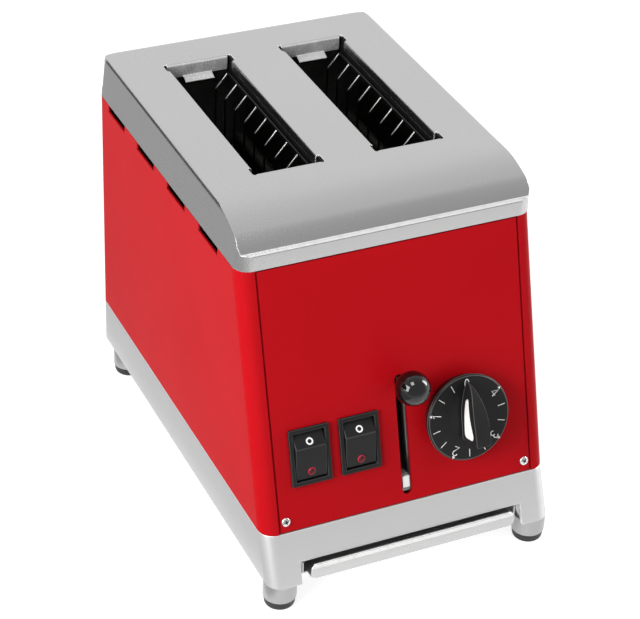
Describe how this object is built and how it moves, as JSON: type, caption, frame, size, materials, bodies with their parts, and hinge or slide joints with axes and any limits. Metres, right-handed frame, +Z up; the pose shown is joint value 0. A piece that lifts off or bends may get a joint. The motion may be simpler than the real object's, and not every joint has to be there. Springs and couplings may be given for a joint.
{
  "type": "two-slice toaster",
  "caption": "Toaster with a slanted control panel, timer dial, rocker switches, a lever that lowers the bread racks, long slots in a steel lid and a crumb tray under a metal base.",
  "frame": {"origin": "centre of the footprint box on the table, under the feet", "axes": "+Z up, the slanted control panel faces -Y, +X to the right of someone facing it"},
  "size_m": [0.18, 0.2962, 0.221],
  "materials": {
    "stainless": "satin",
    "red_paint": "satin",
    "base_metal": "satin",
    "foot_metal": "satin",
    "rubber_black": "matte",
    "fastener": "polished",
    "zinc_sheet": "dull",
    "reflector": "bright",
    "bright_wire": "polished",
    "element_sheath": "matte",
    "ceramic": "glazed",
    "spring_steel": "plain",
    "sinter_brass": "plain",
    "nylon_white": "smooth",
    "black_matte": "matte",
    "dial_black": "fine grain",
    "ball_black": "polished",
    "white_print": "satin",
    "lens_red": "polished",
    "tray_metal": "satin"
  },
  "bodies": {
    "housing": {"base_frame": "base_metal", "body_wrap": "red_paint", "front_panel": "red_paint", "top_cover": "stainless", "foot_sleeves": "foot_metal", "foot_pads": "rubber_black", "foot_screws": "fastener", "panel_screws": "fastener", "lid_nuts": "fastener", "chassis_front": "zinc_sheet", "chassis_rear": "zinc_sheet", "shield_left": "reflector", "shield_right": "reflector", "center_reflector": "reflector", "slot_liner_left": "zinc_sheet", "slot_liner_right": "zinc_sheet", "guard_1": "bright_wire", "guard_2": "bright_wire", "guard_3": "bright_wire", "guard_4": "bright_wire", "element_1": "element_sheath", "element_2": "element_sheath", "element_3": "element_sheath", "element_4": "element_sheath", "element_bushes": "ceramic", "guide_rods": "bright_wire", "return_springs": "spring_steel", "lever_bracket": "zinc_sheet", "lever_rods": "bright_wire", "lever_buffer": "nylon_white", "timer_body": "black_matte", "timer_nut": "fastener", "switch_left": "black_matte", "switch_right": "black_matte", "tray_runners": "zinc_sheet", "terminal_block": "ceramic", "cord_gland": "black_matte", "gland_nut": "black_matte"},
    "carriage": {"carriage_bracket": "zinc_sheet", "carriage_bushes": "sinter_brass", "rack_left": "bright_wire", "rack_right": "bright_wire"},
    "lever": {"lever_slider": "nylon_white", "lever_pin": "bright_wire", "lever_ball": "ball_black"},
    "dial": {"dial_knob": "dial_black", "dial_insert": "white_print", "timer_shaft": "bright_wire"},
    "rocker_a": {"rocker_left": "black_matte", "lens_left": "lens_red"},
    "rocker_b": {"rocker_right": "black_matte", "lens_right": "lens_red"},
    "tray": {"crumb_tray": "tray_metal"}
  },
  "joints": [
    {"name": "carriage_lift", "type": "slide", "parent": "housing", "child": "carriage", "axis": [0, 0, -1], "range_m": [0, 0.05467], "stiffness_N_per_m": 80, "springref_m": -0.08, "deforming": ["return_springs"]},
    {"name": "lever_slide", "type": "slide", "parent": "housing", "child": "lever", "axis": [0, -0.2832, -0.9591], "range_m": [0, 0.05701]},
    {"name": "dial_turn", "type": "hinge", "parent": "housing", "child": "dial", "pos_m": [0.037, -0.1187, 0.0906], "axis": [0, 0.9591, -0.2832], "range_deg": [0, 304]},
    {"name": "rocker_left_tilt", "type": "hinge", "parent": "housing", "child": "rocker_a", "pos_m": [-0.0581, -0.11709, 0.0872], "axis": [1, 0, 0], "range_deg": [0, 16]},
    {"name": "rocker_right_tilt", "type": "hinge", "parent": "housing", "child": "rocker_b", "pos_m": [-0.0276, -0.11709, 0.0872], "axis": [1, 0, 0], "range_deg": [0, 16]},
    {"name": "tray_slide", "type": "slide", "parent": "housing", "child": "tray", "axis": [0, -1, 0], "range_m": [0, 0.2]}
  ],
  "couplings": [
    {"joint": "lever_slide", "follows": "carriage_lift", "ratio": 1.0427}
  ]
}
